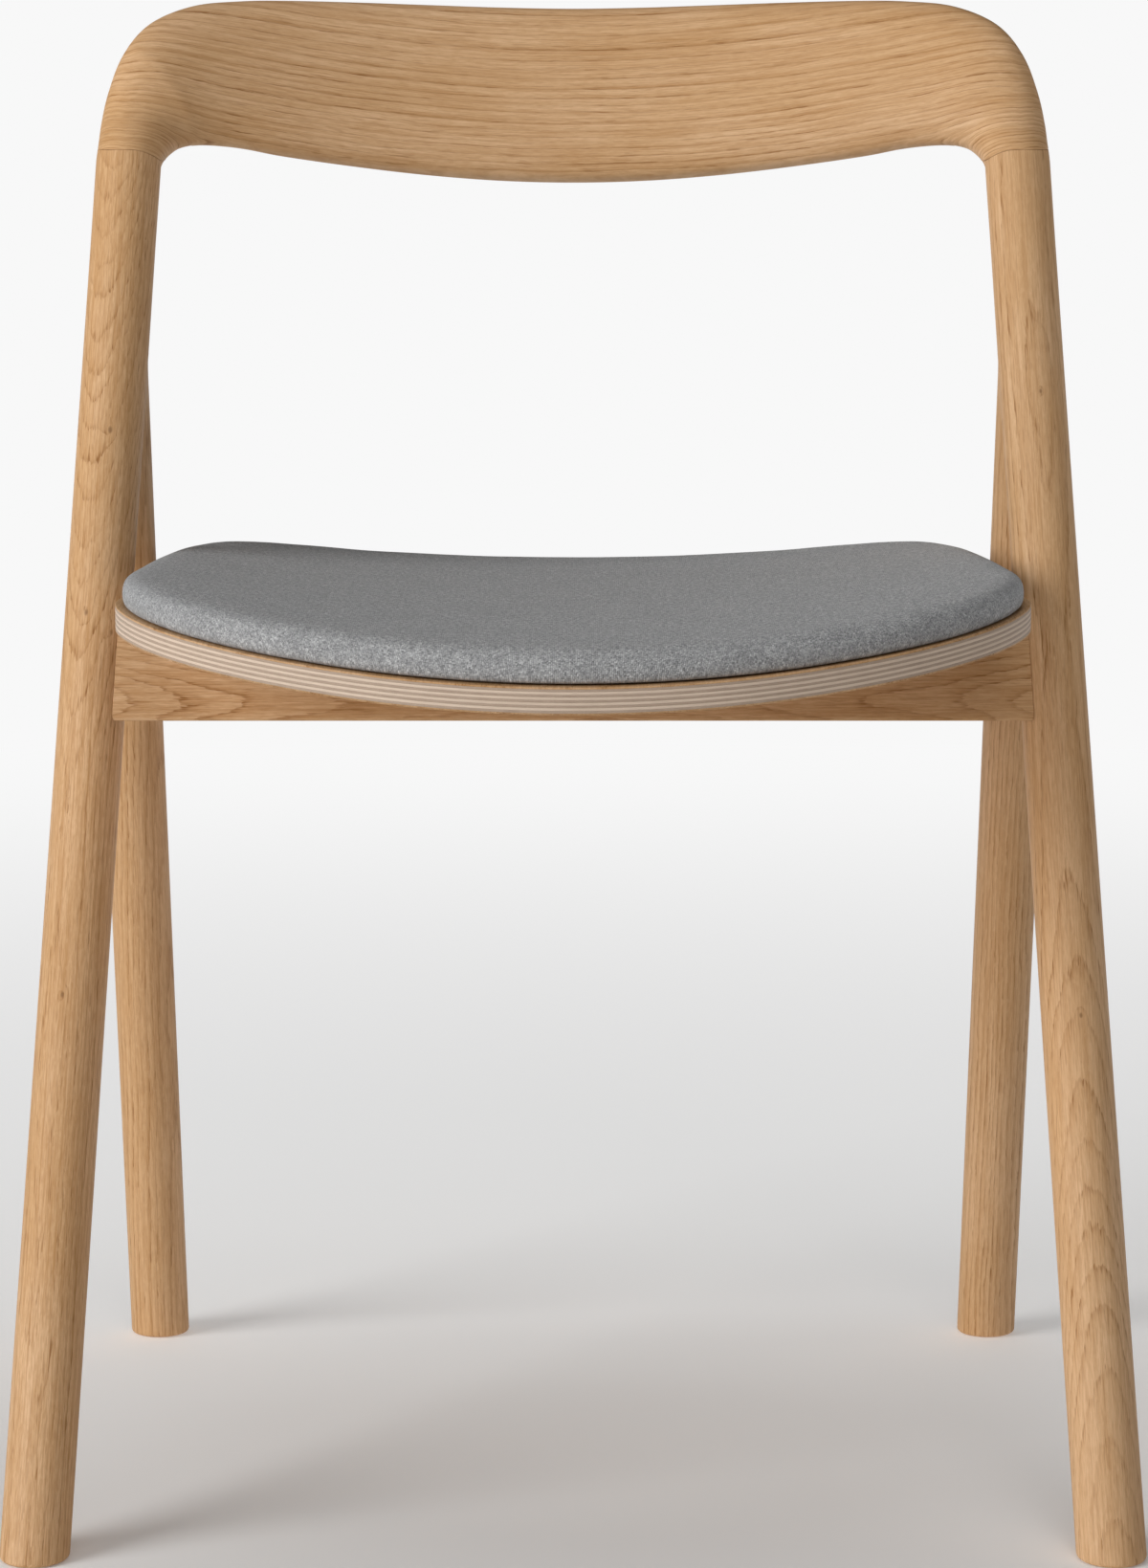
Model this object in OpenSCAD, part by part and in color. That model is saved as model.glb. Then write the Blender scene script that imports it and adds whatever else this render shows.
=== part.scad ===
// Dining chair: two splayed A-shaped side frames of round oak posts, a shaped
// backrest that grows out of the front posts, two hollowed seat rails, a curved
// moulded plywood seat and a thin upholstered pad.
// Millimetres. +X is the sitter's left-right axis, +Y points to the back, +Z is up.
// The origin is on the floor, in the middle of the chair's footprint box.

/* [Front legs] */
// Radius of the long front posts
leg_r = 16; // [14:0.25:17]
// Distance of a front foot from the middle plane
front_foot_x = 245.8; // [235:0.1:255]
// Distance of a front post's top from the middle plane
top_x = 221; // [216:0.1:226]
// How far the top of a front post lies behind its foot
top_y = 301.2; // [280:0.1:320]
// Height of the joint between post and backrest, on the post's axis
top_z = 624.7; // [600:0.1:650]

/* [Rear legs] */
// Radius of the rear legs
rear_leg_r = 15.25; // [13:0.25:15.75]
// Distance of a rear foot from the middle plane
rear_foot_x = 221.3; // [215:0.1:230]
// How far a rear foot lies behind the front foot
rear_foot_y = 409.8; // [395:0.1:430]
// Height at which the rear leg's axis meets the front post's axis
joint_z = 534.7; // [515:0.1:550]

/* [Backrest] */
// How far the middle of the backrest is set back from the post line
back_set = 62; // [45:1:70]
// Half thickness of the backrest slat at the middle
back_half_t = 12; // [10:0.5:14]
// Lean of the slat, as run over rise
back_lean = 0.38; // [0.3:0.01:0.48]

/* [Rails] */
// Distance of a front rail's front face from the post axis
rail_front = 12; // [10:0.5:13]
// Distance of a front rail's back face from the post axis
rail_back = 14; // [10:0.5:15]
// Height of the front rail's flat underside
rail_z = 363.7; // [355:0.1:368]
// Half thickness of the rear rail
rear_rail_half = 11; // [9:0.5:12]
// Height of the rear rail's underside
rear_rail_z = 364; // [358:0.5:368]

/* [Seat] */
// Height of the plywood's top face on the middle line
seat_z = 406.8; // [402:0.1:410]
// Radius of the sideways curve of the seat's top face
seat_r = 1100; // [1000:10:1300]
// Thickness of each face veneer
veneer_t = 0.8; // [0.6:0.1:1]
// Thickness of each core ply
ply_t = 1.18; // [1.1:0.01:1.25]
// How far the plywood stands out past the pad
seat_margin = 3.5; // [3:0.5:6]

/* [Pad] */
// Height of the pad's rim above the plywood
pad_h = 15.5; // [12:0.5:18]
// Extra height at the middle of the pad
pad_crown = 2.5; // [0:0.5:5]
// Thickness of the cover fabric
cover_t = 1.2; // [0.8:0.1:1.6]
// Thickness of the pad board
board_t = 3; // [2.5:0.5:4]
// Gap between plywood and cover
pad_gap = 0.5; // [0.3:0.1:1]

/* [Joints and fasteners] */
// Radius of the backrest dowels
back_dowel_r = 6; // [5:0.5:7]
// Radius of the rear leg dowels
leg_dowel_r = 5; // [4:0.5:6]
// Radius of the rail dowels
rail_dowel_r = 4; // [3:0.5:4.5]
// Shank radius of the seat bolts
bolt_r = 2.5; // [2:0.25:3]
// Outer radius of the threaded inserts
insert_r = 4.25; // [4:0.25:5]
// Radius of the foot glides
glide_r = 11; // [9:0.5:12]

/* [Hidden] */
$fn = 64;

oak = [0.77, 0.61, 0.43];
oak_dark = [0.70, 0.53, 0.36];
ply_light = [0.80, 0.71, 0.61];
ply_dark = [0.52, 0.43, 0.35];
wool = [0.46, 0.46, 0.46];
steel = [0.72, 0.73, 0.75];

// ---- axes of the side frame, with the front feet at y = 0 ----
foot_lift = 0.4;                       // glides stand this much proud of the wood
front_foot = [-front_foot_x, 0, 0];
post_top = [-top_x, top_y, top_z];
u = (post_top - front_foot) / norm(post_top - front_foot);
joint = front_foot + u * (joint_z / u.z);
rear_foot = [-rear_foot_x, rear_foot_y, 0];
w = (joint - rear_foot) / norm(joint - rear_foot);
post_lean = u.y / u.z;
rear_lean = w.y / w.z;                 // negative: the rear legs lean forward going up

// ---- seat stack, heights above the plywood's top face ----
core_t = 9 * ply_t;
seat_t = core_t + 2 * veneer_t;
axis_z = seat_z + seat_r;              // the seat's curves are coaxial cylinders along y
board_h = pad_gap + cover_t;           // underside of the pad board

// Half outline of the pad in plan, front middle to rear middle, round numbers
half_outline = [[0, -45], [60, -38], [115, -18], [161, 10], [192, 45], [208, 92],
                [206, 150], [200, 215], [192, 268], [177, 313], [144, 340], [76, 356], [0, 363]];
n_half = len(half_outline);
loop_pts = concat(half_outline, [for (i = [n_half - 2 : -1 : 1]) [-half_outline[i].x, half_outline[i].y]]);

seat_front = half_outline[0].y - seat_margin;
foot_back = rear_foot_y + rear_lean * foot_lift + rear_leg_r * norm([w.y, w.z]) / w.z;
y_mid = (seat_front + foot_back) / 2;

// ---- helpers ----
function cr(a, b, c, d, t) = 0.5 * ((2 * b) + (c - a) * t + (2 * a - 5 * b + 4 * c - d) * t * t
                                   + (3 * b - a - 3 * c + d) * t * t * t);
function closed_curve(p, sub) = let (n = len(p)) [for (i = [0 : n - 1], k = [0 : sub - 1])
    cr(p[(i + n - 1) % n], p[i], p[(i + 1) % n], p[(i + 2) % n], k / sub)];
function inset(p, d) = let (n = len(p)) [for (i = [0 : n - 1])
    let (t = p[(i + 1) % n] - p[(i + n - 1) % n], m = norm(t)) p[i] + d * [-t.y, t.x] / m];
function shrink(p, k, c) = [for (q = p) c + (q - c) * k];
// Height of the seat's curve at x, a distance h above the plywood's top face
function seat_at(x, h) = axis_z - sqrt(pow(seat_r - h, 2) - x * x);
function ring(p, h) = [for (q = p) [q.x, q.y, seat_at(q.x, h)]];
function mirror_x(p) = [-p.x, p.y, p.z];

module place() { translate([0, -y_mid, 0]) children(); }

module rod(p, q, r, f = 64) {
    v = q - p;
    translate(p) rotate([0, acos(v.z / norm(v)), atan2(v.y, v.x)]) rotate([0, 0, 47]) cylinder(r = r, h = norm(v), $fn = f);
}

module both_sides() { children(); mirror([1, 0, 0]) children(); }

// A closed skin over a list of rings of equal length, ends closed with fans
module skin(rings) {
    n = len(rings[0]);
    m = len(rings);
    function mid(r) = [for (k = [0 : 2]) let (s = [for (q = r) q[k]]) s * [for (q = r) 1] / n];
    pts = concat([for (r = rings) each r], [mid(rings[0]), mid(rings[m - 1])]);
    faces = concat(
        [for (j = [0 : m - 2], i = [0 : n - 1]) let (a = j * n + i, b = j * n + (i + 1) % n) each [[a, b + n, b], [a, a + n, b + n]]],
        [for (i = [0 : n - 1]) [n * m, i, (i + 1) % n]],
        [for (i = [0 : n - 1]) [n * m + 1, (m - 1) * n + (i + 1) % n, (m - 1) * n + i]]);
    polyhedron(points = pts, faces = faces, convexity = 8);
}

// ---- side frames (drawn on the left, mirrored for the right) ----
glide_pin_r = 2.5;
front_dowel_heights = [375, 393];
function post_at(z) = front_foot + u * (z / u.z);
function rear_at(z) = rear_foot + w * (z / w.z);

// everything above a level plane
module above(z) { translate([-400, -200, z]) cube([800, 900, 800]); }

module rail_dowel_front(z) { p = post_at(z); translate([p.x - 3, p.y, z]) rotate([0, 90, 0]) cylinder(r = rail_dowel_r, h = 48, $fn = 32); }
module rail_dowel_rear(z) { p = rear_at(z); translate([p.x - 3, p.y, z]) rotate([0, 90, 0]) cylinder(r = rail_dowel_r, h = 48, $fn = 32); }
module back_dowel() { rod(post_top - u * 30, post_top + u * 30, back_dowel_r, 32); }
module leg_dowel() { rod(joint - w * 62, joint + w * 4, leg_dowel_r, 32); }
module glide_solid(p, r) {
    translate([p.x, p.y, 0]) { cylinder(r = r, h = 3, $fn = 48); cylinder(r = glide_pin_r, h = 18, $fn = 24); }
}

module front_leg() {
    difference() {
        difference() {
            intersection() { rod(front_foot - u * 12, post_top, leg_r); above(foot_lift); }
            leg_dowel();
        }
        back_dowel();
        for (z = front_dowel_heights) rail_dowel_front(z);
        glide_solid(front_foot, glide_r);
    }
}

module rear_leg() {
    difference() {
        difference() {
            intersection() { rod(rear_foot - w * 12, joint, rear_leg_r); above(foot_lift); }
            rod(front_foot, post_top, leg_r);
        }
        leg_dowel();
        for (z = front_dowel_heights) rail_dowel_rear(z);
        glide_solid(rear_foot, glide_r);
    }
}

module front_leg_left() { color(oak) place() front_leg(); }
module front_leg_right() { color(oak) place() mirror([1, 0, 0]) front_leg(); }
module rear_leg_left() { color(oak) place() rear_leg(); }
module rear_leg_right() { color(oak) place() mirror([1, 0, 0]) rear_leg(); }

// ---- backrest ----
// Left half stations from the post's top to the middle:
// inner edge x and z, outer edge x and z, half thickness, squareness of the section
stations = [
    [-204.9, 624.1, -237.1, 625.3, 16, 2],
    [-203.4, 627.2, -236.3, 634, 16, 2],
    [-200.6, 630, -235, 645, 16, 2],
    [-196.8, 632.2, -231.6, 661, 15.8, 2.05],
    [-191.5, 633.4, -225.2, 678, 15.4, 2.1],
    [-184.5, 633.8, -213, 693, 14.8, 2.2],
    [-175, 633.2, -193, 701.6, 14, 2.4],
    [-163, 631.6, -170, 704, 13.4, 2.6],
    [-145, 628, -146, 704.3, 12.8, 2.8],
    [-110, 622.8, -110, 703.4, 12.3, 3],
    [-74, 618.5, -74, 702.1, 12, 3.2],
    [-37, 615.6, -37, 700.8, 12, 3.3],
    [0, 614.6, 0, 700.2, 12, 3.3]];
n_st = len(stations);
back_R = (pow(222, 2) + back_set * back_set) / (2 * back_set);
function smooth(t) = let (c = min(max(t, 0), 1)) c * c * (3 - 2 * c);
function set_back(x) = let (c = min(abs(x), 222)) sqrt(back_R * back_R - c * c) - (back_R - back_set);
function st(i) = i < 0 ? 2 * stations[0] - stations[1]
    : i < n_st ? stations[i]
    : let (s = stations[2 * (n_st - 1) - i]) [-s[0], s[1], -s[2], s[3], s[4], s[5]];
function st_at(t) = let (i = min(floor(t), n_st - 2)) cr(st(i - 1), st(i), st(i + 1), st(i + 2), t - i);
function lean_at(t) = post_lean + (back_lean - post_lean) * smooth((t - 2) / 7);
function surf(x, z, t) = [x, top_y + (z - top_z) * lean_at(t) + smooth(t / 3) * set_back(x), z];
function in_pt(t) = let (s = st_at(t)) surf(s[0], s[1], t);
function out_pt(t) = let (s = st_at(t)) surf(s[2], s[3], t);
function mid_pt(t) = (in_pt(t) + out_pt(t)) / 2;
function unit(v) = v / norm(v);
function along(t) = let (k = smooth(t / 3), d = unit(mid_pt(min(t + 0.05, n_st - 1)) - mid_pt(max(t - 0.05, 0)))) unit((1 - k) * u + k * d);
function spow(v, e) = sign(v) * pow(abs(v), e);
n_sec = 32;
function section(t) = let (s = st_at(t), a = out_pt(t) - in_pt(t), m = mid_pt(t),
        e1 = a / 2, e2 = unit(cross(along(t), a)) * (s[4] + (back_half_t - 12) * smooth(t / 9)), e = 2 / s[5])
    [for (k = [0 : n_sec - 1]) let (q = 360 * k / n_sec) m + e1 * spow(cos(q), e) + e2 * spow(sin(q), e)];

module backrest() {
    t_list = concat([for (i = [0 : 2 * (n_st - 1) - 1]) i / 2], [n_st - 1]);
    half = [for (t = t_list) section(t)];
    other = [for (i = [len(half) - 2 : -1 : 0]) [for (q = half[i]) mirror_x(q)]];
    color(oak) place() difference() {
        skin(concat(half, other));
        both_sides() back_dowel();
    }
}

// ---- rails ----
module leaning_slab(base, lean, front, back) {
    // a slab parallel to the x axis that leans with the legs, between two offsets
    translate([0, base, 0]) rotate([-atan(lean), 0, 0])
        translate([-top_x - 10, -front, 300]) cube([2 * top_x + 20, front + back, 260]);
}
module seat_hollow() {
    translate([0, -200, axis_z]) rotate([-90, 0, 0]) cylinder(r = seat_r + seat_t, h = 900, $fn = 720);
}
// Bolt places in plan, x from the middle; y on each rail's top
bolt_x = 95;
front_bolt_y = post_lean * 386 - 2.5;
rear_bolt_y = rear_foot_y + rear_lean * 383;
module at_bolts(rows = [0, 1]) {
    for (k = rows, s = [-1, 1]) translate([s * bolt_x, k == 0 ? front_bolt_y : rear_bolt_y, 0]) children();
}
function bolt_base(k) = (k == 0 ? rail_z : rear_rail_z) + 12;
top_of_bolt = seat_at(bolt_x, 0) - 2.5;
module bolt_hole(k) {
    translate([0, 0, bolt_base(k) - 40]) cylinder(r = 5, h = 40, $fn = 32);
    cylinder(r = bolt_r + 0.25, h = 600, $fn = 32);
}

module front_rail() {
    color(oak_dark) place() difference() {
        difference() {
            difference() {
                intersection() { leaning_slab(0, post_lean, rail_front, rail_back); above(rail_z); }
                seat_hollow();
            }
            both_sides() rod(front_foot, post_top, leg_r);
        }
        both_sides() for (z = front_dowel_heights) rail_dowel_front(z);
        for (s = [-1, 1]) translate([s * bolt_x, front_bolt_y, 0]) bolt_hole(0);
    }
}
module rear_rail() {
    color(oak_dark) place() difference() {
        difference() {
            difference() {
                intersection() { leaning_slab(rear_foot_y, rear_lean, rear_rail_half, rear_rail_half); above(rear_rail_z); }
                seat_hollow();
            }
            both_sides() rod(rear_foot, joint, rear_leg_r);
        }
        both_sides() for (z = front_dowel_heights) rail_dowel_rear(z);
        for (s = [-1, 1]) translate([s * bolt_x, rear_bolt_y, 0]) bolt_hole(1);
    }
}
module backrest_dowels() { color(oak_dark) place() both_sides() back_dowel(); }
module rear_leg_dowels() { color(oak_dark) place() both_sides() leg_dowel(); }
module front_rail_dowels() { color(oak_dark) place() both_sides() for (z = front_dowel_heights) rail_dowel_front(z); }
module rear_rail_dowels() { color(oak_dark) place() both_sides() for (z = front_dowel_heights) rail_dowel_rear(z); }

// ---- plywood seat ----
pad_outline = closed_curve(loop_pts, 4);
seat_outline = inset(pad_outline, -seat_margin);
pad_screw_places = [[-120, 40], [120, 40], [-110, 262], [110, 262]];

// A layer between two depths below the top face; negative depths lie above it
module layer(outline, d0, d1) {
    intersection() {
        translate([0, 0, seat_z - 40]) linear_extrude(height = 140) polygon(outline);
        translate([0, -200, axis_z]) rotate([-90, 0, 0]) difference() {
            cylinder(r = seat_r + d1, h = 900, $fn = 720);
            translate([0, 0, -1]) cylinder(r = seat_r + d0, h = 902, $fn = 720);
        }
    }
}
module seat_holes(r) {
    at_bolts() translate([0, 0, 330]) cylinder(r = r, h = top_of_bolt - 330 + 0.6, $fn = 32);
    for (p = pad_screw_places) translate([p.x, p.y, 330]) cylinder(r = 1.75, h = 120, $fn = 24);
}
module seat_top_veneer() {
    color(oak) place() difference() { layer(seat_outline, 0, veneer_t); for (p = pad_screw_places) translate([p.x, p.y, 330]) cylinder(r = 1.75, h = 120, $fn = 24); }
}
module seat_bottom_veneer() { color(oak) place() difference() { layer(seat_outline, veneer_t + core_t, seat_t); seat_holes(insert_r); } }
module seat_long_grain_plies() {
    color(ply_light) place() difference() {
        for (i = [1, 3, 5, 7]) layer(seat_outline, veneer_t + i * ply_t, veneer_t + (i + 1) * ply_t);
        seat_holes(insert_r);
    }
}
module seat_cross_grain_plies() {
    color(ply_dark) place() difference() {
        for (i = [0, 2, 4, 6, 8]) layer(seat_outline, veneer_t + i * ply_t, veneer_t + (i + 1) * ply_t);
        seat_holes(insert_r);
    }
}
// the inserts sit flush with the underside of the seat
module seat_inserts() {
    color(steel) place() at_bolts() difference() {
        intersection() {
            translate([0, 0, 380]) cylinder(r = insert_r, h = top_of_bolt - 380, $fn = 32);
            translate([0, 0, seat_at(bolt_x, 0) - seat_t + 0.6]) cylinder(r = insert_r, h = 40, $fn = 32);
        }
        translate([0, 0, 330]) cylinder(r = bolt_r, h = top_of_bolt - 330 - 1.5, $fn = 32);
    }
}
module seat_bolts() {
    color(steel) place() for (k = [0, 1]) at_bolts([k]) difference() {
        union() {
            translate([0, 0, bolt_base(k)]) cylinder(r = bolt_r, h = top_of_bolt - 1.5 - bolt_base(k), $fn = 32);
            translate([0, 0, bolt_base(k) - 4]) cylinder(r = 4.5, h = 4, $fn = 32);
        }
        translate([0, 0, bolt_base(k) - 5]) cylinder(r = 1.8, h = 3.5, $fn = 6);
    }
}

// ---- pad ----
soft_outline = closed_curve(loop_pts, 2);
pad_mid = [0, 158];
module pad_board() {
    color([0.6, 0.5, 0.38]) place() difference() {
        layer(inset(pad_outline, 3.4), -board_h - board_t, -board_h - 0.05);
        for (p = pad_screw_places) translate([p.x, p.y, 330]) cylinder(r = 1.75, h = 83.9 + pow(p.x, 2) / (2 * seat_r), $fn = 24);
    }
}
// rings of the foam from its flat underside over the rim to the crown
foam_low = board_h + board_t + 0.1;
foam_top = pad_h - cover_t;
function foam_rings(g) = concat(
    [for (k = [0.1, 0.4, 0.75]) ring(shrink(inset(soft_outline, 4 - g), k, pad_mid), foam_low - g)],
    [ring(inset(soft_outline, 3.6 - g), foam_low - g),
     ring(inset(soft_outline, 1.6 - g), foam_low + 2),
     ring(inset(soft_outline, 1.6 - g), foam_top - 5 + g),
     ring(inset(soft_outline, 3 - g), foam_top - 2.6 + g),
     ring(inset(soft_outline, 5.6 - g), foam_top - 0.9 + g),
     ring(inset(soft_outline, 10 - g), foam_top + g)],
    [for (k = [0.82, 0.6, 0.35, 0.1]) ring(shrink(soft_outline, k, pad_mid), foam_top + g + pad_crown * (1 - k * k))]);
module pad_foam() { color([0.93, 0.9, 0.8]) place() skin(foam_rings(0)); }
// the cover wraps the foam and is turned in under the board's rim
module pad_cover() {
    inner = foam_rings(0.1);
    up = [ring(inset(soft_outline, 20), pad_gap + cover_t - 0.05),
          ring(inset(soft_outline, 20), pad_gap),
          ring(inset(soft_outline, 3), pad_gap),
          ring(inset(soft_outline, 0.8), pad_gap + 1.2),
          ring(inset(soft_outline, 0.1), pad_gap + 3.2),
          ring(inset(soft_outline, 0), pad_h - 6),
          ring(inset(soft_outline, 1.2), pad_h - 3),
          ring(inset(soft_outline, 4.2), pad_h - 1),
          ring(inset(soft_outline, 9), pad_h)];
    crown = [for (k = [0.82, 0.6, 0.35, 0.1]) ring(shrink(soft_outline, k, pad_mid), pad_h + pad_crown * (1 - k * k))];
    down = [for (i = [len(inner) - 1 : -1 : 4]) inner[i]];
    rim = [ring(inset(soft_outline, 2.4), board_h + 0.3)];
    all_rings = concat(up, crown, down, rim);
    n = len(soft_outline);
    m = len(all_rings);
    // a closed ring skin: the last ring joins the first, and the crown is closed by two fans
    c_out = 8 + 4;
    pts = concat([for (r = all_rings) each r],
        [[pad_mid.x, pad_mid.y, seat_at(0, pad_h + pad_crown)], [pad_mid.x, pad_mid.y, seat_at(0, pad_h + pad_crown - cover_t + 0.1)]]);
    faces = concat(
        [for (j = [0 : m - 1], i = [0 : n - 1]) if (j != c_out)
            let (jn = (j + 1) % m, a = j * n + i, b = j * n + (i + 1) % n, c = jn * n + (i + 1) % n, d = jn * n + i) each [[a, c, b], [a, d, c]]],
        [for (i = [0 : n - 1]) [n * m, c_out * n + (i + 1) % n, c_out * n + i]],
        [for (i = [0 : n - 1]) [n * m + 1, (c_out + 1) * n + i, (c_out + 1) * n + (i + 1) % n]]);
    color(wool) place() polyhedron(points = pts, faces = faces, convexity = 8);
}
module pad_screws() {
    color(steel) place() for (p = pad_screw_places) {
        base = seat_at(p.x, 0) - seat_t;
        translate([p.x, p.y, base - 1.8]) cylinder(r = 3.6, h = 2, $fn = 32);
        translate([p.x, p.y, base]) cylinder(r = 1.75, h = seat_t + board_h + 2, $fn = 24);
    }
}

// ---- glides ----
module front_glides() { color([0.85, 0.82, 0.76]) place() both_sides() glide_solid(front_foot, glide_r); }
module rear_glides() { color([0.85, 0.82, 0.76]) place() both_sides() glide_solid(rear_foot, glide_r); }

front_leg_left();
front_leg_right();
rear_leg_left();
rear_leg_right();
backrest();
front_rail();
rear_rail();
backrest_dowels();
rear_leg_dowels();
front_rail_dowels();
rear_rail_dowels();
seat_top_veneer();
seat_long_grain_plies();
seat_cross_grain_plies();
seat_bottom_veneer();
seat_inserts();
seat_bolts();
pad_board();
pad_foam();
pad_cover();
pad_screws();
front_glides();
rear_glides();
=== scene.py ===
"""Looks of the upholstered dining chair: soaped oak frame, moulded plywood seat, grey wool pad."""
import bpy, bmesh, math
import numpy as np
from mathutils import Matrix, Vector
from mathutils.kdtree import KDTree


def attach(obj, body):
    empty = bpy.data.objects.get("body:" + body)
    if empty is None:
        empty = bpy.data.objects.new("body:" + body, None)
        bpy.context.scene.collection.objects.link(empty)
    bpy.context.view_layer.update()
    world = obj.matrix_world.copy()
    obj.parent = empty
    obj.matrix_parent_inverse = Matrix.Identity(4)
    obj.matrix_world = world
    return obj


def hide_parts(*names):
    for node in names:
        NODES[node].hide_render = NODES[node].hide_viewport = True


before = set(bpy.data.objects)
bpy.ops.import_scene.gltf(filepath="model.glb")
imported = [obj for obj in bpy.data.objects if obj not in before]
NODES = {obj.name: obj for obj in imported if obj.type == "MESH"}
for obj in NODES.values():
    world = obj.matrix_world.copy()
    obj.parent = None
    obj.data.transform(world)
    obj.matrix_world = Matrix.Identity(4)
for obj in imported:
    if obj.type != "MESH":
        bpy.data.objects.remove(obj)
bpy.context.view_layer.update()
scene = bpy.context.scene

# ------------------------------------------------------------------ dimensions, millimetres, front feet at y = 0
LEG_R, REAR_R = 16.0, 15.25
FRONT_FOOT = np.array([-245.8, 0.0, 0.0])
POST_TOP = np.array([-221.0, 301.2, 624.7])
REAR_FOOT = np.array([-221.3, 409.8, 0.0])
LIFT = 0.4


def unit(v):
    v = np.asarray(v, float)
    return v / np.linalg.norm(v, axis=-1, keepdims=True)


U = unit(POST_TOP - FRONT_FOOT)
JOINT = FRONT_FOOT + U * (534.7 / U[2])
W = unit(JOINT - REAR_FOOT)
SEAT_Z, SEAT_R = 406.8, 1100.0
VENEER, PLY = 0.8, 1.18
CORE = 9 * PLY
SEAT_T = CORE + 2 * VENEER
AXIS_Z = SEAT_Z + SEAT_R
MARGIN, PAD_H, PAD_CROWN, PAD_GAP = 3.5, 15.5, 2.5, 0.5
HALF = [[0, -45], [60, -38], [115, -18], [161, 10], [192, 45], [208, 92], [206, 150],
        [200, 215], [192, 268], [177, 313], [144, 340], [76, 356], [0, 363]]
FOOT_BACK = REAR_FOOT[1] + W[1] / W[2] * LIFT + REAR_R * math.hypot(W[1], W[2]) / W[2]
Y_MID = (HALF[0][1] - MARGIN + FOOT_BACK) / 2
PAD_MID = np.array([0.0, 158.0])
POST_LEAN, REAR_LEAN = U[1] / U[2], W[1] / W[2]


def smooth(t):
    c = np.clip(t, 0, 1)
    return c * c * (3 - 2 * c)


def cr(a, b, c, d, t):
    return 0.5 * (2 * b + (c - a) * t + (2 * a - 5 * b + 4 * c - d) * t * t + (3 * b - a - 3 * c + d) * t ** 3)


# ------------------------------------------------------------------ mesh helpers
def to_frame(p):
    q = np.array(p, float).reshape(-1, 3)
    q = q - np.array([0, Y_MID, 0])
    return q * 0.001


def make_mesh(name, verts, faces, attrs=None, mirror=False, smooth_faces=True):
    """A mesh object from millimetre points; attrs maps a name to one vector per point."""
    v = np.array(verts, float).reshape(-1, 3)
    if mirror:
        v = v * np.array([-1, 1, 1])
        faces = [tuple(reversed(f)) for f in faces]
    me = bpy.data.meshes.new(name)
    me.from_pydata([tuple(q) for q in to_frame(v)], [], [tuple(int(i) for i in f) for f in faces])
    for key, val in (attrs or {}).items():
        a = me.attributes.new(key, "FLOAT_VECTOR", "POINT")
        a.data.foreach_set("vector", np.asarray(val, np.float32).ravel())
    me.update()
    me.validate(clean_customdata=False)
    if smooth_faces:
        me.polygons.foreach_set("use_smooth", [True] * len(me.polygons))
    ob = bpy.data.objects.new(name, me)
    scene.collection.objects.link(ob)
    return ob


def grid_faces(m, n, base=0, closed=True, flip=False):
    out = []
    for j in range(m - 1):
        for i in range(n if closed else n - 1):
            a, b = base + j * n + i, base + j * n + (i + 1) % n
            q = (a, b, b + n, a + n)
            out.append(tuple(reversed(q)) if flip else q)
    return out


def ring_skin(rings, caps=(True, True), base=0, flip=False):
    """Vertices and faces of a closed skin over rings of points; caps are fans to the ring's middle."""
    rings = [np.asarray(r, float) for r in rings]
    n, m = len(rings[0]), len(rings)
    verts = list(np.concatenate(rings))
    faces = grid_faces(m, n, base, True, flip)
    for end, on in ((0, caps[0]), (m - 1, caps[1])):
        if not on:
            continue
        verts.append(rings[end].mean(0))
        c = base + len(verts) - 1
        for i in range(n):
            a, b = base + end * n + i, base + end * n + (i + 1) % n
            f = (c, b, a) if end == 0 else (c, a, b)
            faces.append(tuple(reversed(f)) if flip else f)
    return verts, faces


# ------------------------------------------------------------------ backrest surface
STATIONS = np.array([
    [-204.9, 624.1, -237.1, 625.3, 16, 2], [-203.4, 627.2, -236.3, 634, 16, 2], [-200.6, 630, -235, 645, 16, 2],
    [-196.8, 632.2, -231.6, 661, 15.8, 2.05], [-191.5, 633.4, -225.2, 678, 15.4, 2.1], [-184.5, 633.8, -213, 693, 14.8, 2.2],
    [-175, 633.2, -193, 701.6, 14, 2.4], [-163, 631.6, -170, 704, 13.4, 2.6], [-145, 628, -146, 704.3, 12.8, 2.8],
    [-110, 622.8, -110, 703.4, 12.3, 3], [-74, 618.5, -74, 702.1, 12, 3.2], [-37, 615.6, -37, 700.8, 12, 3.3],
    [0, 614.6, 0, 700.2, 12, 3.3]])
NST = len(STATIONS)
BACK_SET, BACK_LEAN = 62.0, 0.38
BACK_R = (222 ** 2 + BACK_SET ** 2) / (2 * BACK_SET)


def set_back(x):
    c = min(abs(x), 222)
    return math.sqrt(BACK_R ** 2 - c * c) - (BACK_R - BACK_SET)


def st(i):
    if i < 0:
        return 2 * STATIONS[0] - STATIONS[1]
    if i < NST:
        return STATIONS[i]
    s = STATIONS[2 * (NST - 1) - i]
    return np.array([-s[0], s[1], -s[2], s[3], s[4], s[5]])


def st_at(t):
    i = max(0, int(min(math.floor(t), NST - 2)))
    return cr(st(i - 1), st(i), st(i + 1), st(i + 2), t - i)


def lean_at(t):
    return POST_LEAN + (BACK_LEAN - POST_LEAN) * smooth((t - 2) / 7)


def surf(x, z, t):
    return np.array([x, POST_TOP[1] + (z - POST_TOP[2]) * lean_at(t) + smooth(t / 3) * set_back(x), z])


_section_cache = {}


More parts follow.
